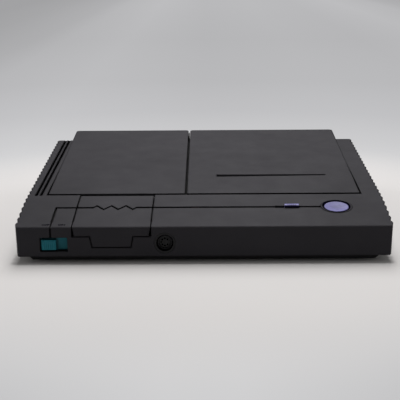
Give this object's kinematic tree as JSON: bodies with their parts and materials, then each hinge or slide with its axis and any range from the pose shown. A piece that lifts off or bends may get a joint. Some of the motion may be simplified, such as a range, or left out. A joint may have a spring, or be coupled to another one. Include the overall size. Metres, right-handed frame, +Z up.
{
  "type": "cd game console",
  "caption": "Low wedge-shaped disc game console with ribbed sides, a hinged disc lid with its drive below, a flip-up card door, slide controls, an open button and cable sockets.",
  "frame": {"origin": "on the floor under the middle of the housing", "axes": "+X to the right seen from the front, +Y to the rear, +Z up"},
  "size_m": [0.2656, 0.236, 0.054],
  "materials": {
    "charcoal_plastic": "fine moulded grain, charcoal grey",
    "base_plastic": "fine moulded grain, near black",
    "black_plastic": "satin moulded black",
    "bezel_plastic": "dark blue satin ring",
    "lilac_plastic": "satin grey-lilac",
    "teal_plastic": "satin teal",
    "lens_plastic": "smoked indicator lens, unlit",
    "steel": "bright drawn steel",
    "sheet_metal": "zinc-plated sheet",
    "contact_metal": "gold-flashed brass",
    "board_resin": "green solder mask",
    "gear_nylon": "natural white nylon",
    "lens_glass": "coated objective lens in a clear holder",
    "damper_rubber": "soft black rubber",
    "foot_rubber": "soft black rubber"
  },
  "bodies": {
    "housing": {"upper_shell": "charcoal_plastic", "left_panel": "charcoal_plastic", "lower_shell": "base_plastic", "power_switch": "black_plastic", "controller_socket": "black_plastic", "signal_socket": "black_plastic", "power_inlet": "black_plastic", "card_connector": "black_plastic", "board_chips": "black_plastic", "disc_well": "black_plastic", "button_bezel": "bezel_plastic", "indicator_lens": "lens_plastic", "lid_hinge_pins": "steel", "door_hinge_pin": "steel", "button_spring": "steel", "controller_shell": "steel", "inlet_pin": "steel", "guide_rods": "steel", "spindle_motor": "steel", "sled_motor": "steel", "case_screws": "steel", "board_screws": "steel", "board_shield": "sheet_metal", "drive_chassis": "sheet_metal", "card_contacts": "contact_metal", "main_board": "board_resin", "drive_dampers": "damper_rubber", "rubber_feet": "foot_rubber"},
    "lid": {"disc_lid": "charcoal_plastic"},
    "clamp": {"disc_clamp": "black_plastic"},
    "card_flap": {"card_door": "charcoal_plastic"},
    "button": {"open_button": "lilac_plastic"},
    "latch": {"lid_latch": "black_plastic"},
    "lock": {"lock_slider": "lilac_plastic"},
    "power": {"power_slider": "teal_plastic"},
    "platter": {"turntable": "black_plastic"},
    "sled": {"pickup_sled": "black_plastic", "pickup_lens": "lens_glass"},
    "reduction_gear": {"sled_gear": "gear_nylon"},
    "drive_pinion": {"motor_pinion": "contact_metal"}
  },
  "joints": [
    {"name": "lid_hinge", "type": "hinge", "parent": "housing", "child": "lid", "pos_m": [0, 0.11098, 0.04422], "axis": [-1, 0, 0], "range_deg": [0, 70]},
    {"name": "clamp_spin", "type": "hinge", "parent": "lid", "child": "clamp", "pos_m": [0.052, 0.01482, 0.03922], "axis": [0, -0.1037, 0.9946], "continuous": true},
    {"name": "card_door_hinge", "type": "hinge", "parent": "housing", "child": "card_flap", "pos_m": [-0.0646, -0.0613, 0.03276], "axis": [-1, 0, 0], "range_deg": [0, 95]},
    {"name": "open_press", "type": "slide", "parent": "housing", "child": "button", "axis": [0, 0.1736, -0.9848], "range_m": [0, 0.0025], "stiffness_N_per_m": 400, "springref_m": -0.002, "deforming": ["button_spring"]},
    {"name": "latch_slide", "type": "slide", "parent": "housing", "child": "latch", "axis": [0, -1, 0], "range_m": [0, 0.0022]},
    {"name": "lock_slide", "type": "slide", "parent": "housing", "child": "lock", "axis": [-1, 0, 0], "range_m": [0, 0.006]},
    {"name": "power_slide", "type": "slide", "parent": "housing", "child": "power", "axis": [1, 0, 0], "range_m": [0, 0.008]},
    {"name": "platter_spin", "type": "hinge", "parent": "housing", "child": "platter", "pos_m": [0.052, 0.01523, 0.03524], "axis": [0, -0.1037, 0.9946], "continuous": true},
    {"name": "sled_travel", "type": "slide", "parent": "housing", "child": "sled", "axis": [-1, 0, 0], "range_m": [0, 0.034]},
    {"name": "reduction_spin", "type": "hinge", "parent": "housing", "child": "reduction_gear", "pos_m": [0.022, -0.01224, 0.01619], "axis": [0, -0.1037, 0.9946], "range_deg": [-5, 320]},
    {"name": "pinion_spin", "type": "hinge", "parent": "housing", "child": "drive_pinion", "pos_m": [0.00743, -0.01751, 0.01564], "axis": [0, -0.1037, 0.9946], "range_deg": [-780, 10]}
  ],
  "couplings": [
    {"joint": "latch_slide", "follows": "open_press", "ratio": 0.85},
    {"joint": "reduction_spin", "follows": "sled_travel", "rad_per_m": 158.73},
    {"joint": "pinion_spin", "follows": "sled_travel", "rad_per_m": -388.01}
  ]
}
